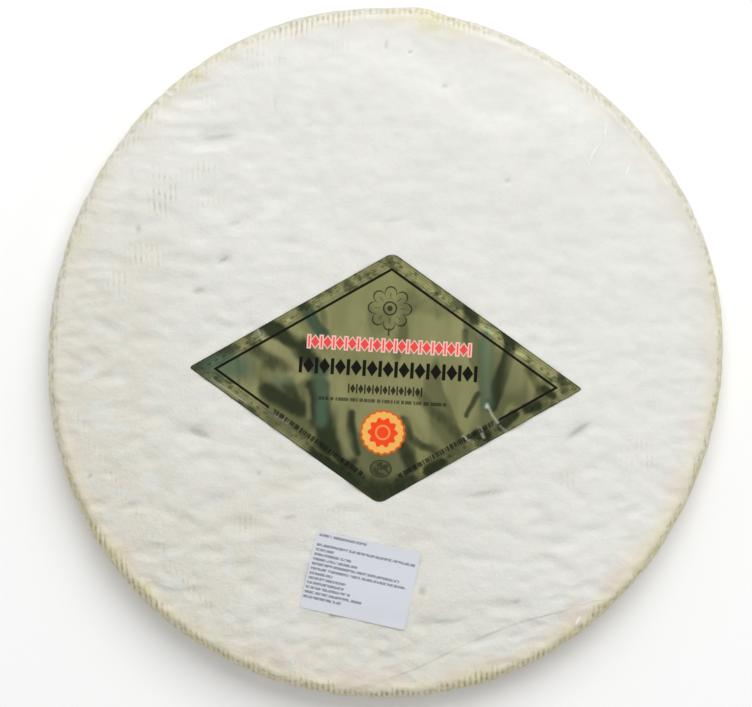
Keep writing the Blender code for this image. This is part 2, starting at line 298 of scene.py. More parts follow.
class FilmSettings(bpy.types.PropertyGroup):
    """How the clear film lies and shines."""
    clearance: length_property("Gap between the film and the rind", 0.3 * MM)
    crease_height: length_property("Height of the film's creases", 0.07 * MM)
    pleat_height: length_property("Height of the pleats on the side", 0.3 * MM)
    haze: share_property("Share of light that the film throws back", 0.02)
    side_haze: share_property("Share of light that the pleated side throws back besides", 0.07)
    # How strongly a crease's painted white highlight shows
    crease_highlight_share: share_property("Share of light that a crease throws back", 0.42)
    # How strongly the painted shade line of the film's free edge shows
    edge_shade_share: share_property("Share of light that the film's free edge stops", 0.055)
    # Colour of the creases' painted highlight
    crease_highlight: linear_colour("Bright creases in the film", 1.0, 1.0, 1.0)
    # Colour of the painted shade line along the film's free edge
    edge_shade: linear_colour("Free edge of the film", 0.42, 0.38, 0.30)
    roughness: share_property("Roughness of the film", 0.16)


class LabelSettings(bpy.types.PropertyGroup):
    """Colours and creases of the foil label, and the reflections painted on its metal."""
    thickness: length_property("Thickness of the foil", 0.12 * MM)
    crease_height: length_property("Height of the foil's soft creases", 0.22 * MM)
    foil: linear_colour("Olive-gold metal", 0.27, 0.268, 0.118)
    # Painted reflections on the metal: of something light, dark and blue-green, and of a lamp as a glint
    light_reflection: linear_colour("Metal that mirrors something light", 0.38, 0.375, 0.18)
    dark_reflection: linear_colour("Metal that mirrors something dark", 0.034, 0.045, 0.022)
    cool_reflection: linear_colour("Metal that mirrors something blue-green", 0.10, 0.158, 0.098)
    glint: linear_colour("Metal that mirrors a lamp", 0.66, 0.70, 0.56)
    black: screen_colour("Black ink", 14, 13, 6)
    red: screen_colour("Red ink", 228, 76, 70)
    pink: screen_colour("Pale outline of the red ink", 240, 190, 180)
    gold: screen_colour("Ring of the rosette", 236, 178, 88)
    orange: screen_colour("Edge of the rosette", 206, 88, 24)
    scarlet: screen_colour("Middle of the rosette", 238, 70, 32)


class StickerSettings(bpy.types.PropertyGroup):
    """Colours of the paper sticker."""
    thickness: length_property("Thickness of the paper", 0.12 * MM)
    paper: screen_colour("Cool white paper", 212, 216, 223)
    ink: screen_colour("Grey marks", 92, 95, 105)


class StudioSettings(bpy.types.PropertyGroup):
    """The floor, the lights and the camera."""
    floor: linear_colour("Plain pale floor", 0.96, 0.96, 0.96)
    camera_height: length_property("Height of the camera over the floor", 2.2)
    key_power: bpy.props.FloatProperty(
        description="Power of the soft light above the wheel's top edge", default=35.7, min=0, unit="POWER")
    sky: bpy.props.FloatProperty(
        description="Brightness of the room around the wheel", default=0.935, min=0)
    darkness: share_property("How dark the room's two dark parts are", 0.7)
    low_darkness: share_property("How dark the room is low down in front", 0.6)


def both_ways(operation):
    """A Python operator of numbers, and its form for a plain number on the left."""
    def forward(self, other):
        return self.finish.maths(operation, self, other)

    def backward(self, other):
        return self.finish.maths(operation, other, self)
    return forward, backward


class Number:
    """A number that a material works out, so that its maths reads like Python's."""

    def __init__(self, finish, socket):
        self.finish = finish
        self.socket = socket

    def __abs__(self):
        return self.finish.maths("ABSOLUTE", self)

    __add__, __radd__ = both_ways("ADD")
    __sub__, __rsub__ = both_ways("SUBTRACT")
    __mul__, __rmul__ = both_ways("MULTIPLY")
    __truediv__, __rtruediv__ = both_ways("DIVIDE")


# Printed shapes fade over this many millimetres on either side of their edges
SOFT_EDGE = 0.16


class Finish:
    """The look of one material or of the room, built node by node."""

    def __init__(self, name, owners=None, coordinates="Object", scale=1 / MM):
        owners = bpy.data.materials if owners is None else owners
        self.owner = owners.new(name)
        self.owner.use_nodes = True
        self.tree = self.owner.node_tree
        self.tree.nodes.clear()
        place = self.node("ShaderNodeTexCoord").outputs[coordinates]
        self.position = self.node("ShaderNodeVectorMath", {"operation": "SCALE"},
                                  {0: place, "Scale": scale}).outputs[0]
        axes = self.node("ShaderNodeSeparateXYZ", inputs={0: self.position})
        self.x, self.y, self.z = (Number(self, axis) for axis in axes.outputs)
        self.colour = None

    def node(self, kind, settings=None, inputs=None):
        """Add a node: its settings first, then the values or links of its inputs."""
        made = self.tree.nodes.new(kind)
        for key, value in (settings or {}).items():
            setattr(made, key, value)
        for key, value in (inputs or {}).items():
            value = getattr(value, "socket", value)
            if isinstance(value, bpy.types.NodeSocket):
                self.tree.links.new(value, made.inputs[key])
            else:
                made.inputs[key].default_value = value
        return made

    def maths(self, operation, *terms):
        node = self.node("ShaderNodeMath", {"operation": operation}, dict(enumerate(terms)))
        return Number(self, node.outputs[0])

    def ramp(self, value, low, high):
        """A smooth step from 0 at low to 1 at high, which may be below low."""
        if low > high:
            return 1 - self.ramp(value, high, low)
        node = self.node("ShaderNodeMapRange", {"interpolation_type": "SMOOTHSTEP"},
                         {"Value": value, "From Min": low, "From Max": high})
        return Number(self, node.outputs[0])

    def most(self, first, *others):
        for other in others:
            first = self.maths("MAXIMUM", first, other)
        return first

    def stripe(self, value, centre, half_width):
        """1 where a value lies within half a width of a centre."""
        return self.ramp(abs(value - centre), half_width + SOFT_EDGE, half_width - SOFT_EDGE)

    def noise(self, length, detail, seed, stretch=(1, 1, 1), roughness=0.5):
        """Soft noise of 0 to 1 whose waves are some millimetres long."""
        place = self.node("ShaderNodeVectorMath", {"operation": "MULTIPLY_ADD"},
                          {0: self.position, 1: stretch, 2: (seed, seed, seed)}).outputs[0]
        node = self.node("ShaderNodeTexNoise", inputs={
            "Vector": place, "Scale": 1 / length, "Detail": detail, "Roughness": roughness})
        return Number(self, node.outputs["Fac"])

    def noise_along(self, value, length, seed):
        """Soft noise of 0 to 1 along one value, with waves some millimetres long."""
        node = self.node("ShaderNodeTexNoise", {"noise_dimensions": "1D"}, {
            "W": value * (1 / length) + seed, "Scale": 1.0, "Detail": 1.0})
        return Number(self, node.outputs["Fac"])

    def attribute(self, name):
        return Number(self, self.node("ShaderNodeAttribute", {"attribute_name": name}).outputs["Fac"])

    def mix(self, factor, first, second):
        """Mix two colours."""
        def rgba(colour):
            plain = isinstance(colour, bpy.types.NodeSocket)
            return colour if plain else (*colour[:3], 1)
        node = self.node("ShaderNodeMix", {"data_type": "RGBA"},
                         {0: factor, 6: rgba(first), 7: rgba(second)})
        return node.outputs[2]

    def paint(self, factor, colour):
        """Mix one more colour over what has been painted so far."""
        self.colour = self.mix(factor, self.colour, colour)

    def bump(self, height, distance, strength):
        """A normal from a height of 0 to 1 that stands for a distance."""
        node = self.node("ShaderNodeBump", inputs={
            "Height": height, "Distance": distance, "Strength": strength})
        return node.outputs["Normal"]

    def surface(self, **inputs):
        """The Principled shader, with underscores for spaces in its sockets' names."""
        named = {key.replace("_", " "): value for key, value in inputs.items()}
        for key, value in named.items():
            if isinstance(value, tuple) and len(value) == 3:
                named[key] = (*value, 1)
        shader = self.node("ShaderNodeBsdfPrincipled", inputs=named)
        self.node("ShaderNodeOutputMaterial", inputs={"Surface": shader.outputs[0]})
        return self.owner


def noise_at(x, y, z):
    """Blender's smooth noise at arrays of places."""
    x, y, z = np.broadcast_arrays(x, y, z)
    return np.array([noise.noise(place) for place in zip(x.ravel(), y.ravel(), z.ravel())]).reshape(x.shape)


def smooth_step(value, low, high):
    share = np.clip((value - low) / (high - low), 0, 1)
    return share * share * (3 - 2 * share)


def lobed_radius(angle):
    """Distance from the lobes' middle to the outline."""
    radius = WHEEL_RADIUS
    for waves, height, crest in OUTLINE_LOBES:
        radius = radius + height * np.cos(waves * (angle - math.radians(crest)))
    turn = np.degrees(angle) - CORNER_DIRECTION
    turn = (turn + 180) % 360 - 180
    return radius + CORNER_HEIGHT * np.exp(-(turn / CORNER_HALF_WIDTH) ** 2)


def lobes_middle():
    """Where the lobes' middle lies when the whole outline is centred on the origin."""
    angle = np.arange(OUTLINE_SAMPLES) * math.tau / OUTLINE_SAMPLES
    x = lobed_radius(angle) * np.cos(angle)
    y = lobed_radius(angle) * np.sin(angle)
    return -(x.min() + x.max()) / 2, -(y.min() + y.max()) / 2


MIDDLE_X, MIDDLE_Y = lobes_middle()


def place_at(radius, angle):
    """Where some distances and directions from the lobes' middle lead."""
    return MIDDLE_X + radius * np.cos(angle), MIDDLE_Y + radius * np.sin(angle)


def distance_from_middle(x, y):
    return np.hypot(x - MIDDLE_X, y - MIDDLE_Y)


def side_unevenness(angle, seed):
    return 1 + SIDE_UNEVENNESS * noise_at(SIDE_WAVINESS * np.cos(angle), SIDE_WAVINESS * np.sin(angle), seed)


def swell(x, y, length, seed):
    """A smooth random wave, of about -1 to 1, that is longer along X than along Y."""
    return NOISE_GAIN * noise_at(x / (length * SWELL_STRETCH), y / length, seed)


def dent_depth(x, y, dents):
    """How far dents press the face down."""
    depth = np.zeros_like(x)
    for dent in dents:
        turn = math.radians(dent.turn)
        east = x / MM - dent.x
        north = y / MM - dent.y
        along = (east * math.cos(turn) + north * math.sin(turn)) / dent.half_length
        across = (north * math.cos(turn) - east * math.sin(turn)) / dent.half_width
        depth += dent.depth * np.exp(-along * along - across * across)
    return depth * MM


def face_height(x, y):
    """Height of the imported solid's face."""
    reach = distance_from_middle(x, y) / WHEEL_RADIUS
    height = WHEEL_HEIGHT - RIM_DROOP * reach ** DROOP_POWER
    height = height + BROAD_SWELL * swell(x, y, BROAD_LENGTH, BROAD_SEED)
    height = height + FINE_SWELL * swell(x, y, FINE_LENGTH, FINE_SEED)
    return height - dent_depth(x, y, DENTS)


def distance_to_line(x, y, corners):
    """Distance in millimetres from arrays of places to a line through corners."""
    nearest = np.full_like(x, np.inf)
    for (start_x, start_y), (end_x, end_y) in zip(corners, corners[1:]):
        run_x = end_x - start_x
        run_y = end_y - start_y
        away_x = x / MM - start_x
        away_y = y / MM - start_y
        share = np.clip((away_x * run_x + away_y * run_y) / (run_x ** 2 + run_y ** 2), 0, 1)
        nearest = np.minimum(nearest, np.hypot(away_x - share * run_x, away_y - share * run_y))
    return nearest


# One ring of points round the wheel: on the face and the base at a reach of 0 to 1 from
# the middle, and on the side at a lift of 90 degrees at the face to -90 at the base
Ring = namedtuple("Ring", "reach lift count")
FACE_LIFT = 90.0
BASE_LIFT = -90.0
ROW_SHARE = 0.87
SIDE_ARC = 36 * MM
LEAST_COUNT = 6


def disc_rings(radius, lift, spacing_at):
    """Rings over a disc from its middle outwards, spaced by their distance from its edge."""
    rings = []
    inset = 0.0
    while inset < radius:
        spacing = spacing_at(inset)
        count = max(LEAST_COUNT, round(math.tau * (radius - inset) / spacing))
        rings.append(Ring(1 - inset / radius, lift, count))
        inset += spacing * ROW_SHARE
    rings.append(Ring(0.0, lift, 1))
    return rings[::-1]


def wheel_rings(face_spacing, side_spacings, base_spacing):
    """All rings from the middle of the face to the middle of the base."""
    rings = disc_rings(WHEEL_RADIUS - SHOULDER_WIDTH, FACE_LIFT, face_spacing)
    lift = FACE_LIFT
    while True:
        upper, lower = side_spacings
        spacing = upper if lift > 0 else lower
        lift -= spacing * ROW_SHARE / SIDE_ARC * (FACE_LIFT - BASE_LIFT)
        if lift <= BASE_LIFT:
            break
        rings.append(Ring(1.0, lift, round(math.tau * WHEEL_RADIUS / spacing)))
    return rings + disc_rings(WHEEL_RADIUS - FOOT_WIDTH, BASE_LIFT, base_spacing)[::-1]


def ring_surface(ring, angle):
    """Places of a ring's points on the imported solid's surface, and their outward directions."""
    shoulder = SHOULDER_WIDTH * side_unevenness(angle, SHOULDER_SEED)
    outline = lobed_radius(angle)
    lift = math.radians(ring.lift)
    outward = max(math.cos(lift), 0.0) ** (2 / SIDE_SQUARENESS)
    upward = abs(math.sin(lift)) ** (2 / SIDE_SQUARENESS)
    inset = (shoulder if ring.lift > 0 else FOOT_WIDTH) * (1 - outward)
    radius = (outline - inset) * ring.reach
    x, y = place_at(radius, angle)
    bulge = BULGE_HEIGHT * side_unevenness(angle, BULGE_SEED)
    if ring.lift == FACE_LIFT:
        z = face_height(x, y)
    elif ring.lift > 0:
        top = face_height(*place_at(outline - shoulder, angle))
        z = bulge + (top - bulge) * upward
    else:
        z = bulge * (1 - upward)
    across = math.cos(lift)
    normal = np.stack([across * np.cos(angle), across * np.sin(angle), np.full_like(x, math.sin(lift))], 1)
    return np.stack([x, y, z], 1), normal


def stitch(first, second, first_shift, second_shift):
    """Triangles between two closed rings of point numbers with their own counts."""
    if len(first) == 1:
        return [(first[0], near, far) for near, far in zip(second, np.roll(second, -1))]
    if len(second) == 1:
        return [(near, second[0], far) for near, far in zip(first, np.roll(first, -1))]
    faces = []
    i = j = 0
    while i < len(first) or j < len(second):
        first_next = (i + 1 + first_shift) / len(first)
        second_next = (j + 1 + second_shift) / len(second)
        a = first[i % len(first)]
        b = second[j % len(second)]
        if j >= len(second) or (i < len(first) and first_next < second_next):
            i += 1
            faces.append((a, b, first[i % len(first)]))
        else:
            j += 1
            faces.append((a, b, second[j % len(second)]))
    return faces


def smooth_mesh(name, places, faces, sharp_angle=math.pi):
    """A smooth mesh from an array of places, sharp where it turns by more than an angle."""
    mesh = bpy.data.meshes.new(name)
    mesh.from_pydata(places.tolist(), [], [tuple(map(int, face)) for face in faces])
    mesh.shade_smooth()
    if sharp_angle < math.pi:
        mesh.set_sharp_from_angle(angle=sharp_angle)
    return mesh


def keep_values(mesh, values):
    """Keep named values at a mesh's points, for its finish to read."""
    for name, value in values.items():
        layer = mesh.attributes.new(name, "FLOAT", "POINT")
        layer.data.foreach_set("value", value.astype(np.float32))


def make_wheel_mesh(name, rings, shape):
    """A closed mesh from rings. shape() gives each ring's places and named values at its points."""
    places = []
    faces = []
    values = {}
    before = None
    for number, ring in enumerate(rings):
        shift = 0.5 * (number % 2)
        angle = (np.arange(ring.count) + shift) * math.tau / ring.count
        ring_places, ring_values = shape(ring, angle)
        start = sum(len(each) for each in places)
        points = np.arange(start, start + ring.count)
        places.append(ring_places)
        for key, value in ring_values.items():
            values.setdefault(key, []).append(value)
        if before is not None:
            faces += stitch(before[0], points, before[1], shift)
        before = (points, shift)
    mesh = smooth_mesh(name, np.concatenate(places), faces)
    keep_values(mesh, {key: np.concatenate(parts) for key, parts in values.items()})
    return mesh


def add_object(name, data):
    made = bpy.data.objects.new(name, data)
    bpy.context.scene.collection.objects.link(made)
    return made


def add_piece(name, mesh, material, slot, *nodes):
    """Link a piece, give it its finish and hide the model's parts that it stands for."""
    mesh.materials.append(material)
    piece = add_object(name, mesh)
    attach(piece, ROOT)
    if nodes:
        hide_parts(*nodes)


def mat_phase(x, y, pitch):
    """Which ridge of the mat a place lies on, counted along X with a slight wander."""
    wander = noise_at(x / MAT_WANDER_LENGTH, y / MAT_WANDER_LENGTH, MAT_SEED)
    return x / pitch + MAT_WANDER * NOISE_GAIN * wander


def mat_print(direction, key):
    """A value of the mat's print at the rim, between the directions that give it."""
    directions = [each.direction for each in MAT_PRINTS]
    return np.interp(direction, directions, [getattr(each, key) for each in MAT_PRINTS])


def mat_strength(x, y, from_rim, phase):
    """How deeply the mat is printed, from 0 to 1."""
    ridge = np.round(phase) * MAT_RIDGE_STEP
    broken = smooth_step(noise_at(ridge, y / MAT_TICK_LENGTH, MAT_SEED), -0.2, 0.2)
    uneven = noise_at(ridge, y / (4 * MAT_TICK_LENGTH), MAT_SEED + 4)
    worn = MAT_WEAR + MAT_WEAR * noise_at(x / MAT_WEAR_LENGTH, y / MAT_WEAR_LENGTH, MAT_SEED + 2)
    direction = np.degrees(np.arctan2(y, x)) % 360
    clarity = mat_print(direction, "clarity")
    uneven = uneven + 0.6 * (worn - MAT_WEAR)
    reach = MM * mat_print(direction, "end") * (1 + MAT_RIM_UNEVEN * uneven)
    start = MM * mat_print(direction, "start")
    rim = smooth_step(from_rim - start, 0, MAT_RISE) * (1 - smooth_step(from_rim, reach * MAT_FADE, reach))
    whole = MAT_WHOLE * clarity ** 2
    strength = rim * worn * clarity * (whole + (1 - whole) * broken)
    for patch in MAT_PATCHES:
        away = ((x / MM - patch.x) / patch.half_width) ** 2 + ((y / MM - patch.y) / patch.half_height) ** 2
        strength = np.maximum(strength, patch.strength * np.exp(-away * away) * broken)
    ticks = np.exp(-(distance_to_line(x, y, TICK_ROW) / TICK_ROW_WIDTH) ** 2)
    short = smooth_step(noise_at(ridge, y / TICK_ROW_LENGTH, MAT_SEED + 8), -0.1, 0.25)
    return np.clip(np.maximum(strength, TICK_ROW_STRENGTH * ticks * short), 0, 1)


RIND_FINE = 0.9 * MM
RIND_COARSE = 1.9 * MM
RIND_FINE_BAND = 9 * MM
RIND_BLEND_BAND = 34 * MM
RIND_SIDE = (0.9 * MM, 1.6 * MM)
RIND_BASE = 4.0 * MM
# Folds, wrinkles and lumps of the skin: their sizes along X and Y, and their shares
FOLD_WIDTH = 18.7 * MM
FOLD_LENGTH = 11 * MM
FOLD_SEED = 21.7
WRINKLE_WIDTH = 16.5 * MM
WRINKLE_LENGTH = 8.8 * MM
WRINKLE_SHARE = 0.7
LUMP_WIDTH = 8.25 * MM
LUMP_LENGTH = 5.5 * MM
LUMP_SHARE = 0.75
LUMP_SEED = 33.1
# The dents' darker colour sits a little below their middles: their thin mould, and painted shade on the
# lower slope that faces the light
DENT_SHADE_SHIFT = 1.4 * MM
# How lively the folds are in the middle, at least and at most, and how they calm down by the
# metre to the right and up
LIVELINESS = 1.1
LEAST_LIVELINESS = 0.4
MOST_LIVELINESS = 1.8
CALM_EAST = 2.6
CALM_NORTH = 4.0
# The rind stays at least this far under the film
LEAST_GAP = 0.05 * MM


def rind_spacing(inset):
    return RIND_FINE + (RIND_COARSE - RIND_FINE) * smooth_step(inset, RIND_FINE_BAND, RIND_BLEND_BAND)


def rind_folds(x, y, z):
    """Height of the skin's folds, as a share: lively at the lower left and calm at the upper right."""
    drift = FOLD_SEED + z / FOLD_LENGTH
    folds = noise_at(x / FOLD_WIDTH, y / FOLD_LENGTH, drift)
    wrinkles = 0.5 - np.abs(noise_at(x / WRINKLE_WIDTH, y / WRINKLE_LENGTH, drift + 9)) * 2
    lumps = noise_at(x / LUMP_WIDTH, y / LUMP_LENGTH, LUMP_SEED + z / LUMP_LENGTH)
    lively = np.clip(LIVELINESS - CALM_EAST * x - CALM_NORTH * y, LEAST_LIVELINESS, MOST_LIVELINESS)
    return lively * (folds + WRINKLE_SHARE * wrinkles + LUMP_SHARE * lumps)


def stain_strength(x, y):
    strength = np.zeros_like(x)
    for stain in STAINS:
        away = np.hypot(x / MM - stain.x, y / MM - stain.y) / stain.radius
        strength = np.maximum(strength, stain.strength * np.exp(-away * away))
    return strength


def rind_shape(settings, clearance):
    """How the rind lies under the film: its folds, pits and the mat's ridges."""
    def shape(ring, angle):
        places, normal = ring_surface(ring, angle)
        x, y, z = places.T
        from_rim = np.maximum(lobed_radius(angle) - distance_from_middle(x, y), 0)
        phase = mat_phase(x, y, settings.mat_pitch)
        strength = mat_strength(x, y, from_rim, phase)
        groove = 0.5 - 0.5 * np.cos(math.tau * phase)
        pits = dent_depth(x, y, PITS if ring.lift == FACE_LIFT else ())
        rise = settings.fold_height * rind_folds(x, y, z) - settings.mat_depth * strength * groove - pits
        depth = clearance - np.minimum(rise, clearance - LEAST_GAP)
        # Dent depth moved a little south, for painted shade in the dents
        dented = (dent_depth(x, y + DENT_SHADE_SHIFT, DENTS) + pits) / MM
        values = {
            "mat_phase": phase,
            "mat_strength": strength,
            "from_rim": from_rim / MM,
            "dented": dented,
            "pitted": pits / MM,
            "stain": stain_strength(x, y),
        }
        return places - normal * depth[:, None], values
    return shape


def rind_finish(settings):
    """White mould that thins to cream and straw at the rim, with the mat's ridges."""
    finish = Finish("mould_rind")
    ramp, mix, paint = finish.ramp, finish.mix, finish.paint
    phase = finish.attribute("mat_phase")
    strength = finish.attribute("mat_strength")
    from_rim = finish.attribute("from_rim")
    broad = finish.noise(70, 2, 3)
    medium = finish.noise(17, 3, 11)
    fine = finish.noise(2.6, 4, 29, roughness=0.65)
    blots = finish.noise(3, 2, 97)
    drift = broad - 0.5
    patch = medium - 0.5
    grain = fine - 0.5

    # The face: thinner mould towards the lower left, also darker there as painted shade of the light falling
    # off, with cool and warm tints
    side = finish.x * -0.0037 - finish.y * 0.0031 + drift * 1.2
    finish.colour = mix(ramp(side, -0.1, 0.8) + patch * 0.75, settings.mould, settings.shade)
    paint(ramp(finish.noise(8, 2, 57, stretch=(0.8, 1.1, 1)), 0.48, 0.66) * 0.7, settings.moss)
    paint(ramp(finish.noise(3.4, 2, 83), 0.52, 0.7) * 0.45, settings.rose)

    # The rim, by distance from the outline in millimetres: warmer at the lower side, with painted shade at
    # the upper rim and along the lower outline
    south = ramp(finish.y + drift * 80, 60, -90)
    warm = ramp(from_rim + drift * 12, 24, 6) * ramp(medium, 0.38, 0.62)
    paint(warm * (0.25 + south * 0.55), settings.blush)
    paint(ramp(from_rim + patch * 9, 13, 3) * 0.75, mix(south, settings.cream, settings.straw))
    bare = ramp(from_rim + drift * 4 + grain * 4, 4.6, 1)
    paint(bare * 0.85, mix(south, settings.pale_edge, settings.tan_edge))
    # Painted shade: the rim on the side towards the key light is darkened with the groove colour, to tone
    # down its light
    lit_rim_painted_shade = ramp(finish.y * 0.9 + finish.x * 0.4, 80, 160) * ramp(from_rim + patch * 9, 9, 3)
    paint(lit_rim_painted_shade * 0.26, settings.groove)
    mossy = ramp(from_rim + grain * 5, 5, 1.5) * ramp(finish.noise(12, 2, 131), 0.44, 0.6)
    mossy = mossy * ramp(abs(finish.x), 50, 100) * (1 - lit_rim_painted_shade) * 0.7
    paint(finish.most(finish.attribute("stain") * ramp(fine, 0.3, 0.55) * 0.85, mossy), settings.lime)
    spots = ramp(blots, 0.53, 0.62) * ramp(from_rim, 5.2, 2.6) * ramp(from_rim, 0.4, 1.6)
    paint(spots * 0.6, settings.spot)
    whites = ramp(blots, 0.45, 0.36) * ramp(from_rim, 6.5, 3.5) * ramp(from_rim, 0.6, 1.6)
    paint(whites * 0.6, settings.mould)
    flank = ramp(from_rim, 1.5, 0.4)
    paint(flank * ramp(medium * 0.6 + blots * 0.4 + grain * 0.5, 0.6, 0.4) * 0.5, settings.mould)
    # Painted shade: a mottled dark line on the lower flank
    paint(flank * ramp(blots, 0.44, 0.66) * south * 0.3, settings.lower_outline_shade)

    # The mat's print, the dents with their thin mould and painted shade, and the pits
    wave = finish.maths("COSINE", phase * math.tau) * -0.5 + 0.5
    crest = ramp(wave, 0.5, 0.15) * strength
    paint(crest * (0.25 + medium * 0.8), mix(south, settings.ridge, settings.golden_ridge))
    groove = ramp(wave, 0.42, 0.85) * strength * (0.1 + fine) * (0.6 + ramp(blots, 0.4, 0.6) * 0.7)
    bottom = mix(south * ramp(from_rim, 9, 5), settings.groove, settings.tan_groove)
    paint(finish.maths("MINIMUM", groove, 0.72), bottom)
    # Thin mould and painted shade in the dents
    paint(ramp(finish.attribute("dented"), 0.3, 1.4) * 0.42, settings.dent_mould_and_shade)
    paint(ramp(finish.attribute("pitted"), 0.12, 0.6) * 0.5, settings.nick)

    height = fine * 0.7 + finish.noise(0.9, 3, 41, roughness=0.7) * 0.3
    calm = 1 - finish.x * 0.0022 - finish.y * 0.0036
    return finish.surface(
        Base_Color=finish.colour,
        Roughness=settings.roughness,
        Specular_IOR_Level=0.25,
        Normal=finish.bump(height * calm, 0.6 * MM, 0.85),
    )


FILM_SPACING = 2.0 * MM
FILM_SIDE = (1.7 * MM, 1.9 * MM)
FILM_BASE = 4.5 * MM
PLEAT_COUNT = 230
PLEAT_LENGTH = 22 * MM
PLEAT_SEED = 51.9
# The pleats fade out over this height above the base
PLEAT_FADE = 6 * MM


def film_shape(settings):
    """How the film lies over the wheel: tight on the face, with pleats on the side."""
    def shape(ring, angle):
        places, normal = ring_surface(ring, angle)
        x, y, z = places.T
        height = np.zeros_like(x)
        side = np.full_like(x, math.cos(math.radians(ring.lift)) ** 2)
        if ring.lift != FACE_LIFT:
            around = PLEAT_COUNT / math.tau
            pleats = noise_at(around * np.cos(angle), around * np.sin(angle), PLEAT_SEED + z / PLEAT_LENGTH)
            taut = math.cos(math.radians(ring.lift)) * smooth_step(z, 0, PLEAT_FADE)
            height = settings.pleat_height * np.maximum(pleats, 0) * taut
        return places + normal * height[:, None], {"side": side}
    return shape


# The cross-section of a film crease: across and up, as shares of its half width and height
CREASE_SECTION = ((-1, -0.2), (-0.5, 0.5), (0, 1), (0.5, 0.5), (1, -0.2), (0, -0.4))
CREASE_STEP = 1.5 * MM
CREASE_HALF_WIDTH = 0.7 * MM
CREASE_SHARP_ANGLE = math.radians(50)


def line_places(corners, step):
    """Places every so often along a line through corners, with the direction there."""
    places = []
    for start, end in zip(corners, corners[1:]):
        start = Vector(start) * MM
        end = Vector(end) * MM
        count = max(1, round((end - start).length / step))
        direction = (end - start).normalized()
        places += [(start.lerp(end, i / count), direction) for i in range(count)]
    return places + [(end, direction)]


def make_crease_mesh(name, lines, height):
    """Thin ridges along lines over the film, each a closed tube that tapers at both ends."""
    places = []
    faces = []
    sides = len(CREASE_SECTION)
    for corners in lines:
        line = line_places(corners, CREASE_STEP)
        start = len(places)
        for i, (middle, direction) in enumerate(line):
            share = (i + 0.5) / len(line)
            taper = math.sin(math.pi * share) ** 0.5
            for across, up in CREASE_SECTION:
                offset = across * CREASE_HALF_WIDTH * taper
                x = middle.x - direction.y * offset
                y = middle.y + direction.x * offset
                places.append((x, y, up * height * taper))
        for i in range(len(line) - 1):
            for k in range(sides):
                a = start + i * sides + k
                b = start + i * sides + (k + 1) % sides
                faces.append((a, b, b + sides, a + sides))
        faces.append(tuple(start + k for k in reversed(range(sides))))
        faces.append(tuple(len(places) - sides + k for k in range(sides)))
    places = np.array(places)
    x, y, z = places.T
    places[:, 2] = z + np.minimum(face_height(x, y), rim_height(x, y))
    return smooth_mesh(name, places, faces, CREASE_SHARP_ANGLE)


def rim_height(x, y):
    """Height of the rounded shoulder at places near the rim, and far above the face inside it."""
    angle = np.arctan2(y - MIDDLE_Y, x - MIDDLE_X)
    shoulder = SHOULDER_WIDTH * side_unevenness(angle, SHOULDER_SEED)
    inset = lobed_radius(angle) - distance_from_middle(x, y)
    outward = np.clip(1 - inset / shoulder, 0, 1)
    upward = (1 - outward ** SIDE_SQUARENESS) ** (1 / SIDE_SQUARENESS)
    bulge = BULGE_HEIGHT * side_unevenness(angle, BULGE_SEED)
    top = face_height(*place_at(lobed_radius(angle) - shoulder, angle))
    return np.where(inset < shoulder, bulge + (top - bulge) * upward, WHEEL_HEIGHT * 2)


def film_finish(settings):
    """Clear glossy film: nearly all see-through, with a little light thrown back."""
    finish = Finish("clear_film")
    crinkle = finish.noise(9, 1, 17, stretch=(1, 0.5, 1))
    return finish.surface(
        Base_Color=(1.0, 1.0, 1.0),
        Metallic=1.0,
        Roughness=settings.roughness,
        Alpha=settings.haze + finish.attribute("side") * settings.side_haze,
        Normal=finish.bump(crinkle, 0.6 * MM, 0.5),
    )


def crease_finish(name, colour, haze):
    """A crease of the film with a painted white highlight, or its edge with a painted shade line, that comes
    and goes along its length.
    """
    finish = Finish(name)
    clear = finish.ramp(finish.noise(20, 1, 173), 0.35, 0.6)
    return finish.surface(Base_Color=tuple(colour), Roughness=0.3, Alpha=(0.3 + clear) * haze)


def rounded_outline(corners, roundings, turn):
    """The point at a turn of 0 to 1 round a closed outline whose corners are rounded."""
    count = len(corners)
    side = int(turn * count) % count
    start = corners[side]
    end = corners[(side + 1) % count]
    along = turn * count - side
    length = (end - start).length
    ends = (
        (start, end, corners[side - 1], roundings[side], along * length),
        (end, start, corners[(side + 2) % count], roundings[(side + 1) % count], length - along * length),
    )
    for corner, ahead, behind, rounding, distance in ends:
        if distance < rounding:
            share = (1 + distance / rounding) / 2
            tangent_ahead = corner + (ahead - corner).normalized() * rounding
            tangent_behind = corner + (behind - corner).normalized() * rounding
            return tangent_behind.lerp(corner, share).lerp(corner.lerp(tangent_ahead, share), share)
    return start.lerp(end, along)


def make_sheet_mesh(name, corners, roundings, ring_count, centre, turn, thickness, lift):
    """A thin closed sheet over the wheel's face. lift() gives its height at places over the face."""
    flat = [Vector((0, 0))]
    numbers = [np.array([0])]
    for ring in range(1, ring_count + 1):
        count = len(corners) * ring
        numbers.append(np.arange(len(flat), len(flat) + count))
        flat += [rounded_outline(corners, roundings, i / count) * (ring / ring_count) for i in range(count)]
    faces = []
    for inner, outer in zip(numbers, numbers[1:]):
        faces += stitch(inner, outer, 0, 0)
    u, v = np.array(flat).T
    x = centre.x + u * math.cos(turn) - v * math.sin(turn)
    y = centre.y + u * math.sin(turn) + v * math.cos(turn)
    low = face_height(x, y) + lift(u, v, x, y)
    bottom = np.stack([x, y, low], 1)
    top = np.stack([x, y, low + thickness], 1)
    total = len(flat)
    rim = numbers[-1]
    walls = [(near, far, far + total, near + total) for near, far in zip(rim, np.roll(rim, -1))]
    upper = [tuple(number + total for number in face) for face in faces]
    lower = [face[::-1] for face in faces]
    return smooth_mesh(name, np.concatenate([bottom, top]), upper + lower + walls, SHEET_SHARP_ANGLE)


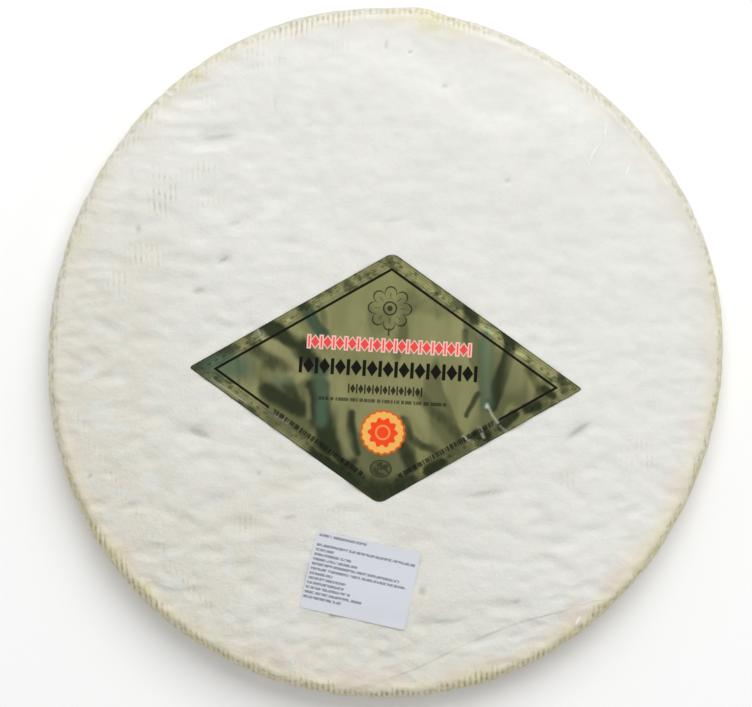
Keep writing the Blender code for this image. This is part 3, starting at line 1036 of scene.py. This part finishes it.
def node_centre(node):
    """The middle of a node's box, as x and y."""
    low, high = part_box(node)
    return (Vector(low) + Vector(high)).to_2d() / 2


LABEL_CENTRE = node_centre("diamond_label")
STICKER_CENTRE = node_centre("paper_sticker")
SHEET_SHARP_ANGLE = math.radians(60)
LABEL_RINGS = 124
STICKER_RINGS = 40
SHEET_CLEARANCE = 0.08 * MM
# Broad and small waves of the foil: their sizes along and across the label, and their shares
BROAD_WAVE_LENGTH = 17 * MM
BROAD_WAVE_HEIGHT = 42.5 * MM
BROAD_WAVE_SHARE = 1.2
SMALL_WAVE_LENGTH = 17 / 3 * MM
SMALL_WAVE_HEIGHT = 17 * MM
SMALL_WAVE_SHARE = 0.4
FOIL_SEED = 61.3
EDGE_EASE = 0.12
# How far the shades sway from their lines, and how much wider they show and crease the foil
SHADE_SWAY = 1.2 * MM
SHADE_SWAY_LENGTH = 9 * MM
SHADE_WIDENING = 1.3
CREASE_WIDENING = 1.6


def shade_strength(x, y, shades, widening):
    """How strongly the foil's painted reflections show along their lines, from 0 to 1."""
    strength = np.zeros_like(x)
    for shade in shades:
        away = distance_to_line(x, y, shade.corners) / (shade.half_width * widening)
        strength = np.maximum(strength, shade.strength * np.exp(-away ** 3))
    return strength


def label_lift(settings):
    """Soft creases in the foil along its shades, which ease off at its edge."""
    def lift(u, v, x, y):
        inside = 1 - np.abs(u) / LABEL_HALF_LENGTH - np.abs(v) / LABEL_HALF_HEIGHT
        broad = noise_at(u / BROAD_WAVE_LENGTH, v / BROAD_WAVE_HEIGHT, FOIL_SEED)
        small = noise_at(u / SMALL_WAVE_LENGTH, v / SMALL_WAVE_HEIGHT, FOIL_SEED + 5)
        raised = shade_strength(x, y, LIGHT_REFLECTIONS + COOL_REFLECTIONS, CREASE_WIDENING)
        waves = 1 + BROAD_WAVE_SHARE * broad + SMALL_WAVE_SHARE * small + raised
        eased = smooth_step(inside, 0, EDGE_EASE)
        return SHEET_CLEARANCE + settings.crease_height * np.maximum(waves, 0) * eased
    return lift


def add_shades(mesh):
    """Keep the strengths of the foil's painted reflections at its points."""
    places = np.empty(len(mesh.vertices) * 3)
    mesh.vertices.foreach_get("co", places)
    x, y, _ = places.reshape(-1, 3).T
    x = x + SHADE_SWAY * noise_at(x / SHADE_SWAY_LENGTH, y / SHADE_SWAY_LENGTH, FOIL_SEED + 11)
    y = y + SHADE_SWAY * noise_at(x / SHADE_SWAY_LENGTH, y / SHADE_SWAY_LENGTH, FOIL_SEED + 17)
    every = {"dark": DARK_REFLECTIONS, "cool": COOL_REFLECTIONS, "light": LIGHT_REFLECTIONS, "glint": GLINTS}
    keep_values(mesh, {key: shade_strength(x, y, shades, SHADE_WIDENING) for key, shades in every.items()})


def sheet_place(finish, centre, turn):
    """Millimetres along and across a turned sheet, from its middle."""
    cosine = math.cos(turn)
    sine = math.sin(turn)
    east = finish.x - centre.x / MM
    north = finish.y - centre.y / MM
    return east * cosine + north * sine, north * cosine - east * sine


def repeat(finish, value, pitch, start=0.0):
    """A value's distance from the nearest of many places with a pitch, one of them at start."""
    return finish.maths("FLOORED_MODULO", value - (start - pitch / 2), pitch) - pitch / 2


# A printed row of ornaments: lozenges with upright bars between them, in millimetres
Row = namedtuple("Row", "centre height half_length count half_width half_height bar")
RED_ROW = Row(1.0, 17.4, 42.8, 13, 2.3, 3.1, 0.42)
BLACK_ROW = Row(1.0, 4.8, 46.6, 11, 3.0, 4.3, 0.95)
SMALL_ROW = Row(0.0, -6.4, 19.4, 9, 1.45, 2.5, 0.45)


def ornament_row(finish, u, v, row, grow=0.0):
    """A mask of a printed row, whose shapes may grow to make an outline."""
    pitch = 2 * row.half_length / row.count
    first = row.centre - row.half_length + pitch / 2
    cell = abs(repeat(finish, u, pitch, first))
    height = abs(v - row.height)
    lozenge = cell / (row.half_width + grow) + height / (row.half_height + grow)
    inside = finish.ramp(lozenge, 1.07, 0.93)
    between = pitch / 2 - cell
    bar = finish.stripe(between, 0, row.bar + grow) * finish.stripe(height, 0, row.half_height + grow)
    return finish.most(inside, bar) * finish.stripe(u, row.centre, row.half_length + row.bar + grow)


# The label's other ornaments, in millimetres from its middle
FLOWER_CENTRE = (0.2, 37.2)
FLOWER_RADIUS = 11.5
FLOWER_PETALS = 8
FLOWER_LINE = 0.46
ROSETTE_CENTRE = (0.0, -28.9)
ROSETTE_RADIUS = 12.0
ROSETTE_PETALS = 10
OVAL_CENTRE = (0.0, -48.2)
OVAL_RADIUS = 4.4
OVAL_FLATNESS = 0.8
BORDER_DEPTH = 7.6
# How far one moves along the border for each millimetre along and across the label
BORDER_ALONG = 0.8425
BORDER_ACROSS = 0.5386


def polar(finish, u, v, centre):
    """Distance from a centre and the direction there."""
    across = u - centre[0]
    up = v - centre[1]
    distance = finish.maths("SQRT", across * across + up * up)
    return distance, finish.maths("ARCTAN2", up, across)


def flower_mask(finish, u, v):
    """A line drawing of a flower on a stem."""
    distance, direction = polar(finish, u, v, FLOWER_CENTRE)
    petals = abs(finish.maths("COSINE", direction * (FLOWER_PETALS / 2)))
    edge = FLOWER_RADIUS * 0.62 + FLOWER_RADIUS * 0.38 * finish.maths("SQRT", petals)
    vein = finish.ramp(petals, 0.985, 0.995) * finish.stripe(distance, 6.6, 1.5)
    return finish.most(
        finish.stripe(distance - edge, 0, FLOWER_LINE),
        finish.stripe(distance, 3.4, FLOWER_LINE),
        finish.ramp(distance, 1.7, 1.3),
        vein * 0.8,
        finish.stripe(u, FLOWER_CENTRE[0], 0.5) * finish.stripe(v, FLOWER_CENTRE[1] - 12.6, 2),
    )


def border_mask(finish, u, v, inset):
    """The black frame, the fine lines and small lozenges of the border, and its lower dashes."""
    ramp = finish.ramp
    run = abs(u) * BORDER_ALONG - abs(v) * BORDER_ACROSS
    upper = ramp(v, -1.2, -0.4)
    line = finish.stripe(inset, BORDER_DEPTH, 0.68) * finish.most(upper, ramp(abs(u), 60.5, 61.5))
    heights = 0.85 + finish.noise_along(run, 1.1, 73) * 1.1
    row = ramp(abs(inset - BORDER_DEPTH) - heights, SOFT_EDGE, -SOFT_EDGE)
    row = row * ramp(abs(u), 59, 58) * ramp(abs(u), 8, 9) * (1 - upper)
    row = row * ramp(finish.noise_along(run, 1.1, 71), 0.36, 0.48)
    cell = abs(repeat(finish, run, 4.6)) / 1.7 + abs(inset - 4) / 0.95
    small = ramp(cell, 1.1, 0.9) * ramp(finish.noise(6, 2, 47), 0.4, 0.56)
    fine = [finish.stripe(inset, depth, 0.16) * 0.6 for depth in (1.8, 2.9, 5.6)]
    return finish.most(line, row * 0.85, finish.stripe(inset, 0.3, 0.5) * 0.5, *fine, small * 0.55)


def label_finish(settings):
    """Printed foil with painted reflections: black frame, flower, rows of ornaments and a rosette."""
    finish = Finish("printed_foil")
    ramp, paint = finish.ramp, finish.paint
    u, v = sheet_place(finish, LABEL_CENTRE, LABEL_TURN)
    depth = LABEL_HALF_LENGTH * LABEL_HALF_HEIGHT / math.hypot(LABEL_HALF_LENGTH, LABEL_HALF_HEIGHT) / MM
    inset = (1 - abs(u) * (MM / LABEL_HALF_LENGTH) - abs(v) * (MM / LABEL_HALF_HEIGHT)) * depth

    # The metal, and the reflections painted into its colour
    reflection_cloud = finish.noise(14, 2, 7, stretch=(1, 0.4, 1))
    finish.colour = finish.mix(ramp(reflection_cloud, 0.35, 0.65) * 0.5, settings.foil, settings.light_reflection)
    # Painted dark reflections, murky towards the lower part and in patches along the border
    low_dark_reflection = ramp(finish.noise(17, 1, 131, stretch=(1, 0.35, 1)) - finish.y * 0.0024, 0.56, 0.63)
    border_dark_reflection = ramp(finish.noise(6, 4, 211, stretch=(0.8, 1, 1), roughness=0.65), 0.47, 0.62)
    paint(finish.most(low_dark_reflection * 0.5, ramp(inset, 8, 6.5) * border_dark_reflection * 0.7), settings.dark_reflection)
    ragged_dark_reflection = finish.attribute("dark") + (finish.noise(5, 3, 301, stretch=(1, 0.5, 1)) - 0.5) * 0.5
    paint(ramp(ragged_dark_reflection, 0.15, 0.8) * 0.96, settings.dark_reflection)
    paint(finish.attribute("light") * (0.4 + reflection_cloud * 0.8), settings.light_reflection)
    paint(finish.attribute("cool") * (0.3 + reflection_cloud), settings.cool_reflection)
    paint(finish.attribute("glint"), settings.glint)

    # The inks
    faint = finish.stripe(v, -12.4, 0.95) * finish.stripe(u, -1, 34)
    faint = faint * ramp(finish.noise_along(u, 1.3, 37), 0.38, 0.46)
    oval, _ = polar(finish, u * OVAL_FLATNESS, v, OVAL_CENTRE)
    mottle = ramp(finish.noise(2.2, 2, 91), 0.4, 0.55)
    black = finish.most(
        border_mask(finish, u, v, inset),
        flower_mask(finish, u, v) * 0.85,
        ornament_row(finish, u, v, BLACK_ROW),
        ornament_row(finish, u, v, SMALL_ROW) * 0.92,
        faint * 0.75,
        finish.stripe(oval, OVAL_RADIUS, 0.35) * 0.8,
        ramp(oval, OVAL_RADIUS, OVAL_RADIUS - 0.8) * (0.35 + mottle * 0.4),
    )
    pink = ornament_row(finish, u, v, RED_ROW, grow=0.75)
    distance, direction = polar(finish, u, v, ROSETTE_CENTRE)
    scallop = distance - finish.maths("COSINE", direction * (2 * ROSETTE_PETALS)) * 0.3
    petals = distance - finish.maths("COSINE", direction * ROSETTE_PETALS) * 0.8
    rosette = ramp(scallop, ROSETTE_RADIUS + 0.25, ROSETTE_RADIUS - 0.25)
    paint(black, settings.black)
    paint(pink, settings.pink)
    paint(ornament_row(finish, u, v, RED_ROW), settings.red)
    paint(rosette, settings.orange)
    paint(ramp(scallop, ROSETTE_RADIUS - 0.8, ROSETTE_RADIUS - 1.3), settings.gold)
    paint(ramp(petals, 7.6, 7.1) * (1 - finish.stripe(distance, 3.6, 0.5) * 0.6), settings.scarlet)
    inked = finish.most(black, pink, rosette)
    crinkle = finish.noise(3.2, 3, 23, stretch=(1, 0.45, 1))
    return finish.surface(
        Base_Color=finish.colour,
        Metallic=1 - inked,
        Roughness=0.24 + inked * 0.3,
        Specular_IOR_Level=0.1,
        Normal=finish.bump(crinkle, 0.25 * MM, 0.3),
    )


STICKER_CURL = 0.9 * MM
STICKER_EDGE_LIFT = 0.12 * MM


def sticker_lift(u, v, x, y):
    """The paper lies flat, with one lower corner and its lower edge a little proud."""
    corner = smooth_step(u / STICKER_WIDTH - v / STICKER_HEIGHT, 0.62, 1.0)
    edge = smooth_step(-v / STICKER_HEIGHT, 0.4, 0.5)
    return SHEET_CLEARANCE + STICKER_CURL * corner * 0.5 + STICKER_EDGE_LIFT * edge


# Rows of grey marks on the sticker: height above its middle and length, in millimetres
STICKER_ROWS = (
    (18.9, 26), (13.6, 53.5), (11, 10), (8.5, 20), (5.9, 24), (3.4, 47.5), (0.8, 51.5),
    (-1.8, 12.5), (-4.3, 20.5), (-6.9, 20), (-9.4, 24), (-12, 31), (-14.6, 20.5),
)
STICKER_MARGIN = 1.1
STICKER_MARGIN_SLOPE = 0.04
STICKER_MARK_HALF_HEIGHT = 0.72


def sticker_finish(settings):
    """Cool white label paper with rows of small grey marks."""
    finish = Finish("label_paper")
    u, v = sheet_place(finish, STICKER_CENTRE, STICKER_TURN)
    left = -STICKER_WIDTH / MM / 2 + STICKER_MARGIN
    rows = []
    for height, length in STICKER_ROWS:
        middle = left + height * STICKER_MARGIN_SLOPE + length / 2
        row = finish.stripe(u, middle, length / 2) * finish.stripe(v, height, STICKER_MARK_HALF_HEIGHT)
        rows.append(row)
    dashes = finish.most(*rows) * finish.ramp(finish.noise(1.1, 2, 13, stretch=(1, 0.7, 1)), 0.33, 0.5)
    fibre = finish.noise(1.4, 4, 19, roughness=0.7)
    paper = finish.mix(fibre * 0.12, settings.paper, settings.ink)
    return finish.surface(
        Base_Color=finish.mix(dashes * 0.72, paper, settings.ink),
        Roughness=0.55,
        Normal=finish.bump(fibre, 0.05 * MM, 0.3),
    )


class CHEESE_OT_rind(bpy.types.Operator):
    """Make the mould-covered rind of the wheel"""
    bl_idname = "cheese.make_rind"
    bl_label = "Rind"

    def execute(self, context):
        settings = context.scene.cheese_rind
        clearance = context.scene.cheese_film.clearance
        rings = wheel_rings(rind_spacing, RIND_SIDE, lambda inset: RIND_BASE)
        mesh = make_wheel_mesh("rind", rings, rind_shape(settings, clearance))
        add_piece("rind", mesh, rind_finish(settings), "rind", "wrapped_wheel")
        return {"FINISHED"}


class CHEESE_OT_film(bpy.types.Operator):
    """Wrap the wheel in clear film"""
    bl_idname = "cheese.wrap_film"
    bl_label = "Film"

    def execute(self, context):
        settings = context.scene.cheese_film
        rings = wheel_rings(lambda inset: FILM_SPACING, FILM_SIDE, lambda inset: FILM_BASE)
        mesh = make_wheel_mesh("film", rings, film_shape(settings))
        add_piece("film_wrap", mesh, film_finish(settings), "film", "wrapped_wheel")
        mesh = make_crease_mesh("creases", FILM_CREASES, settings.crease_height)
        # Painted white highlights along the film's creases
        finish = crease_finish("film_crease", settings.crease_highlight, settings.crease_highlight_share)
        add_piece("film_creases", mesh, finish, "film")
        mesh = make_crease_mesh("film_edge", FILM_EDGES, settings.crease_height)
        # A painted shade line along the film's free edge
        finish = crease_finish("film_edge", settings.edge_shade, settings.edge_shade_share)
        add_piece("film_edge", mesh, finish, "film")
        return {"FINISHED"}


class CHEESE_OT_label(bpy.types.Operator):
    """Lay the printed foil diamond on the wheel"""
    bl_idname = "cheese.lay_label"
    bl_label = "Foil label"

    def execute(self, context):
        settings = context.scene.cheese_label
        tips = ((1, 0), (0, 1), (-1, 0), (0, -1))
        corners = [Vector((x * LABEL_HALF_LENGTH, y * LABEL_HALF_HEIGHT)) for x, y in tips]
        mesh = make_sheet_mesh("foil", corners, LABEL_ROUNDINGS, LABEL_RINGS, LABEL_CENTRE, LABEL_TURN,
                               settings.thickness, label_lift(settings))
        add_shades(mesh)
        add_piece("foil_label", mesh, label_finish(settings), "foil", "diamond_label")
        return {"FINISHED"}


class CHEESE_OT_sticker(bpy.types.Operator):
    """Lay the paper sticker on the wheel"""
    bl_idname = "cheese.lay_sticker"
    bl_label = "Paper sticker"

    def execute(self, context):
        settings = context.scene.cheese_sticker
        tips = ((1, -1), (1, 1), (-1, 1), (-1, -1))
        corners = [Vector((x * STICKER_WIDTH / 2, y * STICKER_HEIGHT / 2)) for x, y in tips]
        mesh = make_sheet_mesh("sticker", corners, [STICKER_ROUNDING] * 4, STICKER_RINGS, STICKER_CENTRE,
                               STICKER_TURN, settings.thickness, sticker_lift)
        add_piece("printed_sticker", mesh, sticker_finish(settings), "paper", "paper_sticker")
        return {"FINISHED"}


FLOOR_HALF_SIZE = 6.0
CAMERA_REACH = 50.0
KEY_SIZE = 1.8
KEY_PLACE = (0.35, 1.33, 1.82)


def make_floor(settings):
    corners = [(-1, -1), (1, -1), (1, 1), (-1, 1)]
    mesh = bpy.data.meshes.new("floor")
    mesh.from_pydata([(x * FLOOR_HALF_SIZE, y * FLOOR_HALF_SIZE, 0) for x, y in corners], [], [(0, 1, 2, 3)])
    finish = Finish("pale_floor")
    mesh.materials.append(finish.surface(Base_Color=tuple(settings.floor), Roughness=0.8))
    add_object("floor", mesh)


def make_light(name, power, size, place):
    """A square soft light that looks at the wheel."""
    light = bpy.data.lights.new(name, "AREA")
    light.energy = power
    light.size = size
    lamp = add_object(name, light)
    lamp.location = place
    lamp.rotation_euler = (-Vector(place)).to_track_quat("-Z", "Y").to_euler()


def make_surroundings(settings):
    """A bright room, darker low down in front and dark high up on two sides, for the foil to mirror."""
    room = Finish("studio", bpy.data.worlds, "Generated", 1.0)
    aside = abs(room.x)
    dark = room.ramp(aside, 0.2, 0.36) * room.ramp(aside, 0.8, 0.66)
    dark = dark * room.ramp(abs(room.y), 0.6, 0.4) * room.ramp(room.z, 0.3, 0.5)
    low = room.ramp(room.z, 0.4, 0.1) * room.ramp(room.y, 0.3, -0.3)
    strength = (1 - dark * settings.darkness) * (1 - low * settings.low_darkness) * settings.sky
    background = room.node("ShaderNodeBackground", inputs={"Strength": strength})
    room.node("ShaderNodeOutputWorld", inputs={"Surface": background.outputs[0]})
    bpy.context.scene.world = room.owner


def make_camera(settings):
    """A camera straight above, framed as the picture is."""
    data = bpy.data.cameras.new("camera")
    data.sensor_width = SENSOR_WIDTH
    distance = settings.camera_height - BULGE_HEIGHT
    data.lens = SENSOR_WIDTH * distance / (PICTURE_WIDTH * METRES_PER_PIXEL)
    data.clip_end = CAMERA_REACH
    camera = add_object("camera", data)
    across, down = WHEEL_MIDDLE_IN_PICTURE
    x = (PICTURE_WIDTH / 2 - across) * METRES_PER_PIXEL
    y = (down - PICTURE_HEIGHT / 2) * METRES_PER_PIXEL
    camera.location = (x, y, settings.camera_height)
    bpy.context.scene.camera = camera


class CHEESE_OT_studio(bpy.types.Operator):
    """Make the floor, the light, the surroundings and the camera"""
    bl_idname = "cheese.make_studio"
    bl_label = "Studio"

    def execute(self, context):
        settings = context.scene.cheese_studio
        make_floor(settings)
        make_light("key", settings.key_power, KEY_SIZE, KEY_PLACE)
        make_surroundings(settings)
        make_camera(settings)
        context.scene.view_settings.view_transform = "Standard"
        return {"FINISHED"}


class CHEESE_PT_panel(bpy.types.Panel):
    """Lists the pieces of the cheese wheel and their settings"""
    bl_label = "Cheese wheel"
    bl_space_type = "VIEW_3D"
    bl_region_type = "UI"
    bl_category = "Cheese"

    def draw(self, context):
        for operator, name in OPERATORS.items():
            box = self.layout.box()
            box.operator(operator.bl_idname)
            settings = getattr(context.scene, name)
            for key in settings.bl_rna.properties.keys():
                if key not in ("rna_type", "name"):
                    box.prop(settings, key, text=key.replace("_", " ").capitalize())


OPERATORS = {
    CHEESE_OT_studio: "cheese_studio",
    CHEESE_OT_rind: "cheese_rind",
    CHEESE_OT_film: "cheese_film",
    CHEESE_OT_label: "cheese_label",
    CHEESE_OT_sticker: "cheese_sticker",
}
SETTINGS = {
    "cheese_studio": StudioSettings,
    "cheese_rind": RindSettings,
    "cheese_film": FilmSettings,
    "cheese_label": LabelSettings,
    "cheese_sticker": StickerSettings,
}


def register():
    for group in SETTINGS.values():
        bpy.utils.register_class(group)
    for operator in OPERATORS:
        bpy.utils.register_class(operator)
    bpy.utils.register_class(CHEESE_PT_panel)
    for name, group in SETTINGS.items():
        setattr(bpy.types.Scene, name, bpy.props.PointerProperty(type=group))


def unregister():
    for name in SETTINGS:
        delattr(bpy.types.Scene, name)
    bpy.utils.unregister_class(CHEESE_PT_panel)
    for operator in reversed(OPERATORS):
        bpy.utils.unregister_class(operator)
    for group in reversed(SETTINGS.values()):
        bpy.utils.unregister_class(group)


def main():
    register()
    bpy.ops.cheese.make_studio()
    bpy.ops.cheese.make_rind()
    bpy.ops.cheese.wrap_film()
    bpy.ops.cheese.lay_label()
    bpy.ops.cheese.lay_sticker()


if __name__ == "__main__":
    main()
